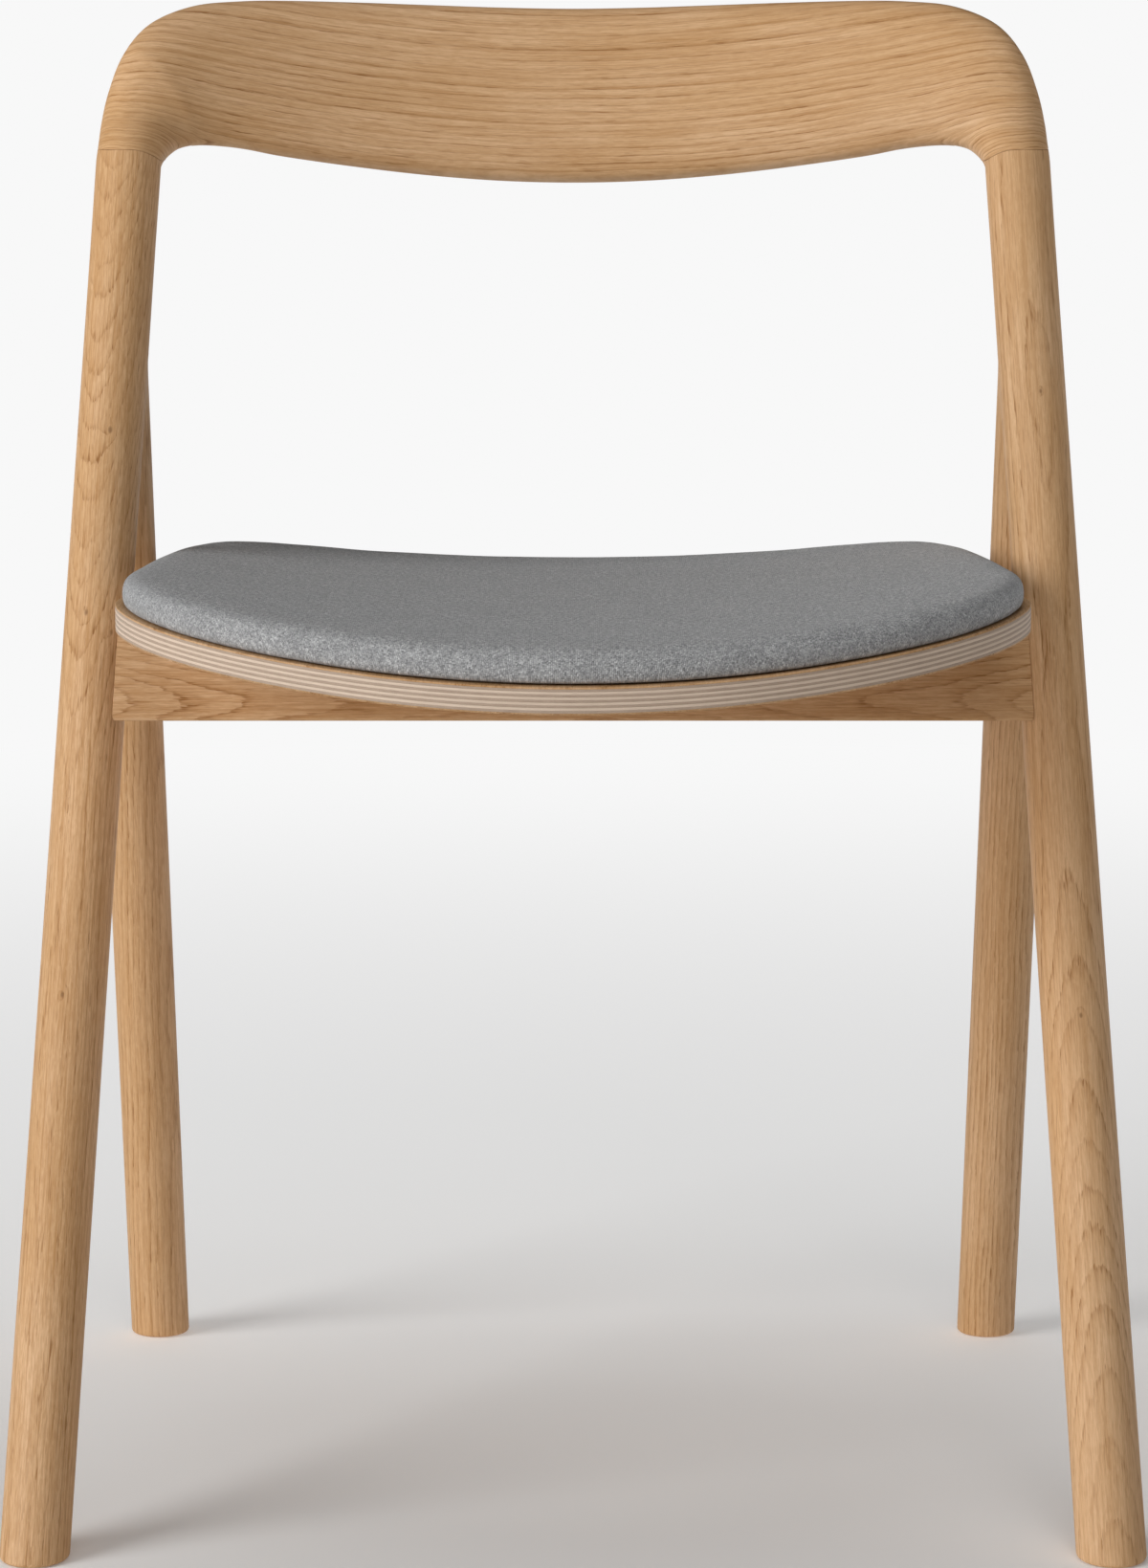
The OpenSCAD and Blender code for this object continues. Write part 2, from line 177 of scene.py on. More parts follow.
def section_frame(t):
    t = round(t, 5)
    if t not in _section_cache:
        s = st_at(t)
        a_in, a_out = surf(s[0], s[1], t), surf(s[2], s[3], t)

        def mid(q):
            z = st_at(q)
            return (surf(z[0], z[1], q) + surf(z[2], z[3], q)) / 2
        k = smooth(t / 3)
        d = unit(mid(min(t + 0.05, NST - 1)) - mid(max(t - 0.05, 0)))
        al = unit((1 - k) * U + k * d)
        a = a_out - a_in
        _section_cache[t] = ((a_in + a_out) / 2, a / 2, unit(np.cross(al, a)) * s[4], 2 / s[5])
    return _section_cache[t]


def back_point(t, q):
    m, e1, e2, e = section_frame(t)
    c, s = math.cos(q), math.sin(q)
    return m + e1 * math.copysign(abs(c) ** e, c) + e2 * math.copysign(abs(s) ** e, s)


def seam_z(q):
    """Height of the seam between post and backrest, level round the outside and dipping at the inner side."""
    a = math.degrees(q) % 360
    a = 360 - a if a > 180 else a
    return 631.8 - 5.9 * float(smooth((a - 100) / 82))


NB = 96
QS = [2 * math.pi * k / NB for k in range(NB)]


def seam_t(q):
    lo, hi = 0.0, 2.4
    z = seam_z(q)
    for _ in range(24):
        mid = (lo + hi) / 2
        if back_point(mid, q)[2] < z:
            lo = mid
        else:
            hi = mid
    return round((lo + hi) / 2, 3)


SEAM = [seam_t(q) for q in QS]


# ------------------------------------------------------------------ legs
def round_axis(p0, ax, r, q, e1, e2, level):
    """A point of the cylinder round p0 + ax at angle q; level 1 keeps the ring horizontal, 0 square to the axis."""
    off = r * (math.cos(q) * e1 + math.sin(q) * e2)
    return p0 + off - level * ax * (off[2] / ax[2])


M0, E1_0, E2_0, _ = section_frame(0.0)
FE1 = unit(E1_0 - U * (E1_0 @ U))
FE2 = unit(np.cross(U, FE1))


def foot_rings(foot, ax, r, e1, e2, qs, fillet=2.1):
    rings = []
    for k in (0.35, 0.8):
        rings.append([round_axis(foot + ax * (LIFT / ax[2]), ax, (r - fillet) * k, q, e1, e2, 1) for q in qs])
    for a in (0, 15, 30, 45, 60, 75, 90):
        al = math.radians(a)
        z = LIFT + fillet * (1 - math.cos(al))
        rings.append([round_axis(foot + ax * (z / ax[2]), ax, r - fillet * (1 - math.sin(al)), q, e1, e2, 1) for q in qs])
    return rings


def front_leg(name, mirror, seed):
    length = np.linalg.norm(POST_TOP - FRONT_FOOT)
    rings = foot_rings(FRONT_FOOT, U, LEG_R, FE1, FE2, QS)
    for s in list(np.linspace(6, 60, 10)) + list(np.linspace(66, length - 12, 96)):
        lv = 1 - float(smooth((s - 10) / 50))
        k = float(smooth(1 - (length - s) / 45))
        ring = []
        for q in QS:
            p = round_axis(FRONT_FOOT + U * s, U, LEG_R, q, FE1, FE2, lv)
            if k > 0:
                p = p + k * ((back_point(0.0, q) - M0) - LEG_R * (math.cos(q) * FE1 + math.sin(q) * FE2)
                             + (M0 - POST_TOP))
            ring.append(p)
        rings.append(ring)
    # up to the seam along the backrest's own surface
    for k in np.linspace(0, 1, 9):
        rings.append([back_point(k * SEAM[i], q) for i, q in enumerate(QS)])
    c = np.mean(rings[-1], axis=0)
    top = [np.asarray(p) for p in rings[-1]]
    rings[-1] = [p - (p - c) * 0.0 - U * 0.22 for p in top]          # a hair under the seam, then rolled in
    rings.append([p - unit(p - c) * 0.16 - U * 0.06 for p in top])
    for k in (0.9, 0.6, 0.3):
        rings.append([c + (p - c) * k - U * 0.06 for p in top])
    v, f = ring_skin(rings)
    v = np.array(v)
    rel = v - FRONT_FOOT
    g = np.stack([rel @ U + seed[0], rel @ FE1 + seed[1], rel @ FE2 + seed[2]], 1)
    return make_mesh(name, v, f, {"grain": g}, mirror)


RE1 = unit(np.array([-1.0, 0, 0]) - W * (np.array([-1.0, 0, 0]) @ W))
RE2 = unit(np.cross(W, RE1))


def rear_leg(name, mirror, seed, spread=15.0):
    qs = QS
    rings = foot_rings(REAR_FOOT, W, REAR_R, RE1, RE2, qs)
    starts, ends, hits = [], [], []
    for q in qs:
        n_r = math.cos(q) * RE1 + math.sin(q) * RE2
        base = REAR_FOOT + REAR_R * n_r
        # first meeting of this line with the front post
        d = base - FRONT_FOOT
        dp, wp = d - U * (d @ U), W - U * (W @ U)
        A, B, C = wp @ wp, 2 * dp @ wp, dp @ dp - (LEG_R + 0.03) ** 2
        s = (-B - math.sqrt(B * B - 4 * A * C)) / (2 * A)
        hit = base + W * s
        c = hit - FRONT_FOOT
        n_f = unit(c - U * (c @ U))
        t_f = n_r - n_f * (n_r @ n_f)
        size = np.linalg.norm(t_f)
        b = hit + t_f * spread
        c = b - FRONT_FOOT
        rad = c - U * (c @ U)
        b = b - rad + unit(rad) * (LEG_R + 0.03)
        starts.append(hit - W * spread * (0.55 + 0.9 * size))
        ends.append((b, unit(rad)))
        hits.append(hit)
    first = min(((p - REAR_FOOT) @ W) for p in starts)
    for s in list(np.linspace(6, 60, 10)) + list(np.linspace(66, first - 14, 90)):
        lv = 1 - float(smooth((s - 10) / 50))
        rings.append([round_axis(REAR_FOOT + W * s, W, REAR_R, q, RE1, RE2, lv) for q in qs])
    for k in np.linspace(0.12, 0.88, 7):
        last = [round_axis(REAR_FOOT + W * (first - 14), W, REAR_R, q, RE1, RE2, 0) for q in qs]
        rings.append([last[i] + (starts[i] - last[i]) * k for i in range(len(qs))])
    for k in np.linspace(0, 1, 15):
        ring = []
        for i in range(len(qs)):
            a, h, b = starts[i], hits[i], ends[i][0]
            c1, c2 = a + (h - a) * 0.72, b + (h - b) * 0.72
            ring.append((1 - k) ** 3 * a + 3 * (1 - k) ** 2 * k * c1 + 3 * (1 - k) * k * k * c2 + k ** 3 * b)
        rings.append(ring)
    rings.append([b - n * 0.5 for b, n in ends])
    mid = np.mean(rings[-1], axis=0)
    for k in (0.7, 0.35):
        rings.append([mid + (p - mid) * k for p in rings[-1 if k == 0.7 else -2]])
    v, f = ring_skin(rings)
    v = np.array(v)
    rel = v - REAR_FOOT
    g = np.stack([rel @ W + seed[0], rel @ RE1 + seed[1], rel @ RE2 + seed[2]], 1)
    return make_mesh(name, v, f, {"grain": g}, mirror)


def backrest(name):
    taus = list(np.linspace(0, 3, 46)) + list(np.linspace(3, NST - 1, 118))[1:]
    half = []
    for tau in taus:
        k = max(0.0, 1 - tau / 3)
        half.append([back_point(min(tau + SEAM[i] * k, NST - 1), q) for i, q in enumerate(QS)])
    top = [np.asarray(p) for p in half[0]]
    c = np.mean(top, axis=0)
    lead = [[c + (p - c) * k + U * 0.06 for p in top] for k in (0.3, 0.6, 0.9)]
    lead.append([p - unit(p - c) * 0.16 + U * 0.06 for p in top])
    half[0] = [p + U * 0.22 for p in top]
    half = lead + half
    other = [[np.asarray(p) * np.array([-1, 1, 1]) for p in r] for r in half[-2::-1]]
    v, f = ring_skin(half + other)
    v = np.array(v)
    g = v - np.array([0, POST_TOP[1], POST_TOP[2]])
    g[:, 1] -= [set_back(x) for x in v[:, 0]]          # the fibres follow the bend of the slat
    return make_mesh(name, v, f, {"grain": g})


# ------------------------------------------------------------------ rails
def seat_at(x, h):
    return AXIS_Z - np.sqrt((SEAT_R - h) ** 2 - np.asarray(x, float) ** 2)


def rail(name, base_y, lean, front, back, z0, ax_foot, ax, r, seed):
    """A leaning slab between the two legs: top on the seat's underside, ends coped on to the round legs."""
    cosl = 1 / math.sqrt(1 + lean * lean)
    ex = np.array([1.0, 0, 0]) - ax * ax[0]

    def leg_x(y, z):
        """Inner face of the left leg at that y and z."""
        d = np.array([0.0, y, z]) - ax_foot
        p = d - ax * (d @ ax)
        A, B, C = ex @ ex, p @ ex, p @ p - (r + 0.02) ** 2
        return (-B + math.sqrt(max(0.0, B * B - A * C))) / A

    def yz(a, b, x):
        """a from 0 front to 1 back, b from 0 bottom to 1 top."""
        off = -front + (front + back) * a
        zt = float(seat_at(x, -SEAT_T)) - 0.02
        z = z0 + (zt - z0) * b
        y = base_y + z * lean + off / cosl
        return y, z

    # the section as a square with eased corners, in shares of the face
    e, nseg = 1.3, 5
    outline = []
    wdt, hgt = front + back, 26.0
    for cx, cy, a0 in ((1, 0, -90), (1, 1, 0), (0, 1, 90), (0, 0, 180)):
        rad = e if cy == 0 else 0.35
        for k in range(nseg + 1):
            al = math.radians(a0 + 90 * k / nseg)
            px = (wdt - rad if cx else rad) + rad * math.cos(al)
            py = (hgt - rad if cy else rad) + rad * math.sin(al)
            outline.append((px / wdt, py / hgt))
    dense = []
    for i, p in enumerate(outline):
        q = outline[(i + 1) % len(outline)]
        d = math.hypot((q[0] - p[0]) * wdt, (q[1] - p[1]) * hgt)
        m = max(1, int(d / 3))
        for k in range(m):
            dense.append((p[0] + (q[0] - p[0]) * k / m, p[1] + (q[1] - p[1]) * k / m))
    n = len(dense)

    def ring(s, k=1.0, pull=0.0):
        pts = []
        for a, b in dense:
            aa, bb = 0.5 + (a - 0.5) * k, 0.5 + (b - 0.5) * k
            x = 0.0
            xe = -205.0
            for _ in range(3):
                y, z = yz(aa, bb, xe)
                xe = leg_x(y, z)
            x = xe + pull + s * (-2 * (xe + pull))
            y, z = yz(aa, bb, x)
            pts.append([x, y, z])
        return pts
    sh = 1 - 0.8 / 13
    rings = [ring(0, k) for k in (0.2, 0.5, 0.75)]
    rings += [ring(0, sh), ring(0, 1 - 0.25 / 13, 0.25), ring(0, 1, 0.8)]
    ss = (1 - np.cos(np.linspace(0, math.pi, 61))) / 2
    rings += [ring(s, 1, 0.8) for s in ss[1:-1]]
    rings += [ring(1, 1, 0.8), ring(1, 1 - 0.25 / 13, 0.25), ring(1, sh)]
    rings += [ring(1, k) for k in (0.75, 0.5, 0.2)]
    v, f = ring_skin(rings, flip=True)
    v = np.array(v)
    g = v - np.array([0, base_y, 380]) + np.array(seed)
    g[:, 1] -= (v[:, 2]) * lean
    ob = make_mesh(name, v, f, {"grain": g})
    return ob


def recess(ob, y, top, base_y, lean):
    """Cuts the two round recesses of the bolt heads into a rail from below."""
    for side in (-1, 1):
        bm = bmesh.new()
        bmesh.ops.create_cone(bm, cap_ends=True, cap_tris=False, segments=48, radius1=0.005, radius2=0.005, depth=0.04)
        tool = bpy.data.meshes.new("cutter")
        bm.to_mesh(tool)
        bm.free()
        cutter = bpy.data.objects.new("cutter", tool)
        cutter.location = to_frame([side * 95, y, top - 20])[0]
        scene.collection.objects.link(cutter)
        m = ob.modifiers.new("recess", "BOOLEAN")
        m.operation, m.solver, m.object = "DIFFERENCE", "EXACT", cutter
        bpy.context.view_layer.update()
        cut = bpy.data.meshes.new_from_object(ob.evaluated_get(bpy.context.evaluated_depsgraph_get()))
        ob.modifiers.clear()
        old, ob.data = ob.data, cut
        bpy.data.meshes.remove(old)
        bpy.data.objects.remove(cutter)
        bpy.data.meshes.remove(tool)
    co = np.array([v.co for v in ob.data.vertices], float) * 1000 + np.array([0, Y_MID, 0])
    g = co - np.array([0, base_y, 380])
    g[:, 1] -= co[:, 2] * lean
    if "grain" in ob.data.attributes:
        ob.data.attributes.remove(ob.data.attributes["grain"])
    ob.data.attributes.new("grain", "FLOAT_VECTOR", "POINT").data.foreach_set("vector", g.astype(np.float32).ravel())
    ob.data.set_sharp_from_angle(angle=math.radians(40))
    return ob


# ------------------------------------------------------------------ seat
def closed_outline(sub):
    pts = HALF + [[-p[0], p[1]] for p in HALF[-2:0:-1]]
    p = np.array(pts, float)
    n = len(p)
    out = []
    for i in range(n):
        for k in range(sub):
            out.append(cr(p[(i - 1) % n], p[i], p[(i + 1) % n], p[(i + 2) % n], k / sub))
    return np.array(out)


def resample(p, m):
    q = np.vstack([p, p[:1]])
    d = np.concatenate([[0], np.cumsum(np.linalg.norm(np.diff(q, axis=0), axis=1))])
    s = np.linspace(0, d[-1], m, endpoint=False)
    return np.stack([np.interp(s, d, q[:, 0]), np.interp(s, d, q[:, 1])], 1)


def fair(p, times, keep=1.0):
    """Evens out the curvature of a closed outline while its size stays."""
    q = p.copy()
    for _ in range(times):
        lap = (np.roll(q, 1, 0) + np.roll(q, -1, 0)) / 2 - q
        q = q + 0.5 * lap
        lap = (np.roll(q, 1, 0) + np.roll(q, -1, 0)) / 2 - q
        q = q - 0.51 * lap
    return q


def normals2(p):
    t = np.roll(p, -1, 0) - np.roll(p, 1, 0)
    return unit(np.stack([t[:, 1], -t[:, 0]], 1))


NO = 320
OUTLINE = resample(fair(resample(closed_outline(24), 640), 160), NO)
if OUTLINE[np.argmax(OUTLINE[:, 0])][0] < 0:
    OUTLINE = OUTLINE * np.array([-1, 1])
area2 = np.sum(OUTLINE[:, 0] * np.roll(OUTLINE[:, 1], -1) - np.roll(OUTLINE[:, 0], -1) * OUTLINE[:, 1])
if area2 < 0:
    OUTLINE = OUTLINE[::-1]
ONORM = normals2(OUTLINE)


def off(d):
    """The pad's outline, moved out by d."""
    return OUTLINE + ONORM * d


def lift(p2, h):
    """Plan points on to the seat's curve at a height h above the plywood's top face."""
    p2 = np.asarray(p2)
    return np.column_stack([p2[:, 0], p2[:, 1], seat_at(p2[:, 0], h)])


def toward(p2, k):
    return PAD_MID + (p2 - PAD_MID) * k


def ply_layer(d0, d1, edge, ease_top=0.0, ease_low=0.0):
    """One layer of the moulded seat between two depths; edge is how far its rim stands out past the seat's outline."""
    o = off(MARGIN + edge)
    rings = [lift(toward(o, k), -d0) for k in (0.08, 0.3, 0.5, 0.7, 0.85, 0.95)]
    h = d1 - d0
    if ease_top:
        for a in (0, 22, 45, 67, 90):
            al = math.radians(a)
            rings.append(lift(off(MARGIN + edge - ease_top * (1 - math.sin(al))), -d0 - ease_top * (1 - math.cos(al))))
    else:
        rings.append(lift(off(MARGIN + edge - 0.06), -d0))
        rings.append(lift(o, -d0 - 0.07))
        rings.append(lift(off(MARGIN + edge + 0.015), -d0 - h / 2))
    if ease_low:
        for a in (90, 67, 45, 22, 0):
            al = math.radians(a)
            rings.append(lift(off(MARGIN + edge - ease_low * (1 - math.sin(al))), -d1 + ease_low * (1 - math.cos(al))))
    else:
        rings.append(lift(o, -d1 + 0.07))
        rings.append(lift(off(MARGIN + edge - 0.06), -d1))
    rings += [lift(toward(o, k), -d1) for k in (0.95, 0.85, 0.7, 0.5, 0.3, 0.08)]
    return ring_skin(rings, flip=True)


def ply_piece(name, layers, seed, cross=False):
    verts, faces = [], []
    for d0, d1, edge, e0, e1 in layers:
        v, f = ply_layer(d0, d1, edge, e0, e1)
        base = len(verts)
        verts += list(v)
        faces += [tuple(i + base for i in q) for q in f]
    v = np.array(verts)
    g = v.copy()
    g[:, 2] = (v[:, 2] - seat_at(v[:, 0], 0))
    g = g + np.array(seed)
    if cross:
        g = g[:, [1, 0, 2]]
    return make_mesh(name, v, faces, {"grain": g})


# ------------------------------------------------------------------ node helpers
class Mat:
    def __init__(self, name):
        self.m = bpy.data.materials.new(name)
        self.m.use_nodes = True
        self.t = self.m.node_tree
        self.t.nodes.clear()

    def put(self, socket, value):
        if isinstance(value, bpy.types.NodeSocket):
            self.t.links.new(value, socket)
        elif isinstance(value, (tuple, list)) and len(value) == 3 and socket.type == "RGBA":
            socket.default_value = (*value, 1)
        else:
            socket.default_value = value

    def node(self, kind, props=None, ins=None):
        n = self.t.nodes.new(kind)
        for k, v in (props or {}).items():
            setattr(n, k, v)
        for k, v in (ins or {}).items():
            self.put(n.inputs[k], v)
        return n

    def math(self, op, a, b=0.0, c=0.0, clamp=False):
        n = self.node("ShaderNodeMath", {"operation": op, "use_clamp": clamp})
        for i, v in enumerate((a, b, c)):
            self.put(n.inputs[i], v)
        return n.outputs[0]

    def add(self, a, b): return self.math("ADD", a, b)
    def sub(self, a, b): return self.math("SUBTRACT", a, b)
    def mul(self, a, b): return self.math("MULTIPLY", a, b)

    def vmul(self, v, k):
        n = self.node("ShaderNodeVectorMath", {"operation": "MULTIPLY"})
        self.put(n.inputs[0], v)
        self.put(n.inputs[1], k)
        return n.outputs[0]

    def vadd(self, v, k):
        n = self.node("ShaderNodeVectorMath", {"operation": "ADD"})
        self.put(n.inputs[0], v)
        self.put(n.inputs[1], k)
        return n.outputs[0]

    def xyz(self, v):
        n = self.node("ShaderNodeSeparateXYZ", None, {0: v})
        return n.outputs[0], n.outputs[1], n.outputs[2]

    def vec(self, x, y, z):
        return self.node("ShaderNodeCombineXYZ", None, {0: x, 1: y, 2: z}).outputs[0]

    def noise(self, v, scale=1.0, detail=2.0, rough=0.5, dist=0.0):
        n = self.node("ShaderNodeTexNoise", None, {"Vector": v, "Scale": scale, "Detail": detail, "Roughness": rough, "Distortion": dist})
        return n.outputs[0]

    def white(self, v):
        return self.node("ShaderNodeTexWhiteNoise", {"noise_dimensions": "1D"}, {"W": v}).outputs[0]

    def step(self, x, lo, hi, a=0.0, b=1.0, kind="SMOOTHSTEP"):
        n = self.node("ShaderNodeMapRange", {"interpolation_type": kind, "clamp": True} if kind == "LINEAR" else {"interpolation_type": kind})
        for i, v in enumerate((x, lo, hi, a, b)):
            self.put(n.inputs[i], v)
        return n.outputs[0]

    def mix(self, fac, a, b, blend="MIX"):
        n = self.node("ShaderNodeMix", {"data_type": "RGBA", "blend_type": blend})
        self.put(n.inputs[0], fac)
        self.put(n.inputs[6], a)
        self.put(n.inputs[7], b)
        return n.outputs[2]

    def attr(self, name):
        return self.node("ShaderNodeAttribute", {"attribute_name": name}).outputs["Vector"]

    def finish(self, colour, rough, height=None, depth=0.0001, strength=0.5, spec=0.4, sheen=0.0, extra=None):
        p = self.node("ShaderNodeBsdfPrincipled")
        self.put(p.inputs["Base Color"], colour)
        self.put(p.inputs["Roughness"], rough)
        p.inputs["Specular IOR Level"].default_value = spec
        if sheen:
            p.inputs["Sheen Weight"].default_value = sheen
            p.inputs["Sheen Roughness"].default_value = 0.55
            p.inputs["Sheen Tint"].default_value = (0.9, 0.92, 0.95, 1)
        for k, v in (extra or {}).items():
            p.inputs[k].default_value = v
        if height is not None:
            b = self.node("ShaderNodeBump", None, {"Strength": strength, "Distance": depth, "Height": height})
            self.put(p.inputs["Normal"], b.outputs[0])
        o = self.node("ShaderNodeOutputMaterial")
        self.t.links.new(p.outputs[0], o.inputs[0])
        return self.m


def oak(name, seed=0.0, pith=None, plane=None, spacing=(3.2, 0.0), drift=(), wander=6.0, tone=1.0, contrast=1.0, knots=(), source="grain",
        figure=1.0, fine=0.8, jag=1.5, follow=False):
    """Soaped oak. x runs along the grain, y and z across it. The growth rings lie round a pith or in planes, drift off along
    the piece and wander; pores gather in the early wood of each ring, between them run fibres, flecks and a few pin knots."""
    M = Mat(name)
    g = M.attr(source) if source == "grain" else M.vmul(M.node("ShaderNodeTexCoord").outputs["Object"], (1000, 1000, 1000))
    x, y, z = M.xyz(g)
    xs = M.add(x, seed * 913.0 + 50.0)

    def stretch(a, b, detail=2.0, rough=0.5, shift=0.0):
        return M.noise(M.vec(M.add(M.mul(xs, a), shift), M.mul(y, b), M.mul(z, b)), 1.0, detail, rough)
    n1 = stretch(0.0056, 0.013, 2.0, 0.45)
    n2 = stretch(0.0066, 0.013, 2.0, 0.45, 31.7)
    n3 = stretch(0.022, 0.10, 2.0, 0.5)
    n4 = stretch(0.13, 0.42, 2.0, 0.55)
    wy = M.mul(M.sub(n1, 0.5), wander * 2)
    wz = M.mul(M.sub(n2, 0.5), wander * 2)
    if plane is None:
        dy = M.add(M.sub(y, pith[0]), wy)
        dz = M.add(M.sub(z, pith[1]), wz)
        rho = M.math("SQRT", M.add(M.mul(dy, dy), M.mul(dz, dz)))
    else:
        rho = M.add(M.add(M.mul(y, plane[0]), M.mul(z, plane[1])), wy)
    for kind, k, at in drift:
        if kind == "bow":          # bends away on both sides of a place
            d = M.sub(x, at)
            rho = M.add(rho, M.mul(M.mul(d, d), k))
        elif kind == "above":      # slants from a place on
            rho = M.add(rho, M.mul(M.math("SMOOTH_MAX", M.sub(x, at), 0.0, 120.0), k))
        else:                      # slants up to a place
            rho = M.add(rho, M.mul(M.math("SMOOTH_MAX", M.sub(at, x), 0.0, 120.0), k))
    fray = stretch(0.05, 0.95, 2.0, 0.6, 17.0)         # vessels cut lengthwise fray the ring lines
    rho = M.add(rho, M.add(M.mul(M.sub(n3, 0.5), 1.1 if follow else 2.4), M.mul(M.sub(n4, 0.5), 0.3 + 0.5 * jag)))
    rho = M.add(rho, M.mul(M.sub(fray, 0.5), jag))
    fy, fz = y, z
    if follow:                                         # the fibres run along the ring lines
        fy, fz = rho, M.mul(M.sub(M.mul(y, plane[1]), M.mul(z, plane[0])), 0.06)

    def fibre(a, b, detail=2.0, rough=0.5, shift=0.0):
        return M.noise(M.vec(M.add(M.mul(xs, a), shift), M.mul(fy, b), M.mul(fz, b)), 1.0, detail, rough)
    knot = None
    for kx, ky, kz, kr in knots:
        d = M.node("ShaderNodeVectorMath", {"operation": "DISTANCE"})
        M.put(d.inputs[0], M.vec(M.mul(x, 0.6), y, z))
        d.inputs[1].default_value = (kx * 0.6, ky, kz)
        rho = M.add(rho, M.mul(M.step(d.outputs["Value"], 0.0, kr * 5.0, 1.0, 0.0), kr * 2.2))
        k = M.step(d.outputs["Value"], kr * 0.4, kr * 1.2, 1.0, 0.0)
        knot = k if knot is None else M.math("MAXIMUM", knot, k)
    if spacing[1]:
        phase = M.math("DIVIDE", M.math("LOGARITHM", M.math("MAXIMUM", M.add(M.mul(rho, spacing[1]), spacing[0]), 0.4), math.e), spacing[1])
    else:
        phase = M.math("DIVIDE", M.add(rho, 300.0), spacing[0])
    phase = M.add(phase, M.mul(M.noise(M.vec(seed * 3.1, 0.0, M.mul(phase, 0.33)), 1.0, 1.0, 0.5), 1.3))
    fr = M.math("FRACT", phase)
    idx = M.math("FLOOR", phase)
    amp = M.step(M.white(M.add(idx, seed * 7.0)), 0.0, 1.0, 0.50, 1.0, "LINEAR")
    amp = M.mul(amp, M.step(stretch(0.02, 0.06, 1.0, 0.5, 11.0), 0.35, 0.60, 0.60, 1.0))
    line = M.mul(M.mul(M.step(fr, 0.0, 0.05), M.step(fr, 0.06, 0.24, 1.0, 0.0)), amp)      # the pore row itself
    early = M.mul(M.mul(M.step(fr, 0.0, 0.08), M.step(fr, 0.10, 0.72, 1.0, 0.0)), amp)    # the soft dark side of the ring
    pn = fibre(0.08, 1.40, 1.0, 0.55, 3.0)
    pores = M.mul(M.step(pn, 0.53, 0.66), M.add(M.mul(line, 0.9), M.add(M.mul(early, 0.45), 0.20)))
    f1 = fibre(0.026, 1.05, 2.0, 0.6, 7.0)
    f2 = fibre(0.011, 0.30, 2.0, 0.5, 9.0)
    f3 = fibre(0.16, 2.0, 2.0, 0.6, 13.0)
    hair = M.step(fibre(0.007, 0.85, 1.0, 0.5, 27.0), 0.58, 0.70)
    rays = M.step(M.noise(M.vec(M.mul(xs, 0.30), M.mul(y, 0.55), M.mul(z, 2.4)), 1.0, 1.0, 0.4), 0.60, 0.72)
    patch = stretch(0.008, 0.03, 2.0, 0.5, 21.0)
    t, c = tone, contrast
    cf, cl = c * fine, c * figure
    light, honey = (0.745 * t, 0.486 * t, 0.278 * t), (0.675 * t, 0.420 * t, 0.218 * t)
    brown, dark = (0.470 * t, 0.238 * t, 0.084 * t), (0.300 * t, 0.132 * t, 0.038 * t)
    col = M.mix(M.step(patch, 0.36, 0.64), light, honey)
    col = M.mix(M.mul(M.step(f2, 0.40, 0.70), 0.28 * c), col, brown)
    col = M.mix(M.mul(M.step(f1, 0.40, 0.68), 0.46 * cf), col, brown)
    col = M.mix(M.mul(M.step(f3, 0.40, 0.66), 0.44 * cf), col, brown)
    col = M.mix(M.mul(hair, 0.40 * cf), col, brown)
    col = M.mix(M.mul(early, min(1.0, 0.52 * cl)), col, brown)
    col = M.mix(M.mul(line, min(1.0, 0.50 * cl)), col, dark)
    col = M.mix(M.mul(rays, 0.14), col, (0.80 * t, 0.54 * t, 0.32 * t))
    col = M.mix(M.mul(pores, min(1.0, 0.40 * c + 0.36 * cf)), col, dark)
    if knot is not None:
        col = M.mix(M.mul(knot, 0.65), col, (0.20, 0.095, 0.035))
    height = M.sub(M.mul(f1, 0.3), M.add(M.mul(pores, 0.9), M.mul(line, 0.35)))
    rough = M.step(line, 0.0, 1.0, 0.56, 0.68, "LINEAR")
    return M.finish(col, rough, height, 0.00012, 0.30, 0.25)


def ply_edge(name, base, line, speckle):
    """Sanded plywood edge: fine streaks along the layer on long grain, dots on end grain."""
    M = Mat(name)
    g = M.attr("grain")
    x, y, z = M.xyz(g)
    if speckle:
        n = M.noise(M.vec(M.mul(x, 1.5), M.mul(y, 1.5), M.mul(z, 3.0)), 1.0, 3.0, 0.65)
        n2 = M.noise(M.vec(M.mul(x, 0.16), M.mul(y, 0.16), M.mul(z, 0.4)), 1.0, 2.0, 0.5)
    else:
        n = M.noise(M.vec(M.mul(x, 0.16), M.mul(y, 0.16), M.mul(z, 4.0)), 1.0, 3.0, 0.6)
        n2 = M.noise(M.vec(M.mul(x, 0.03), M.mul(y, 0.03), M.mul(z, 0.6)), 1.0, 2.0, 0.5)
    c = M.mix(M.mul(M.step(n, 0.40, 0.70), 0.40), base, line)
    c = M.mix(M.mul(M.step(n2, 0.40, 0.68), 0.30), c, line)
    return M.finish(c, 0.62, n, 0.00008, 0.35, 0.3)


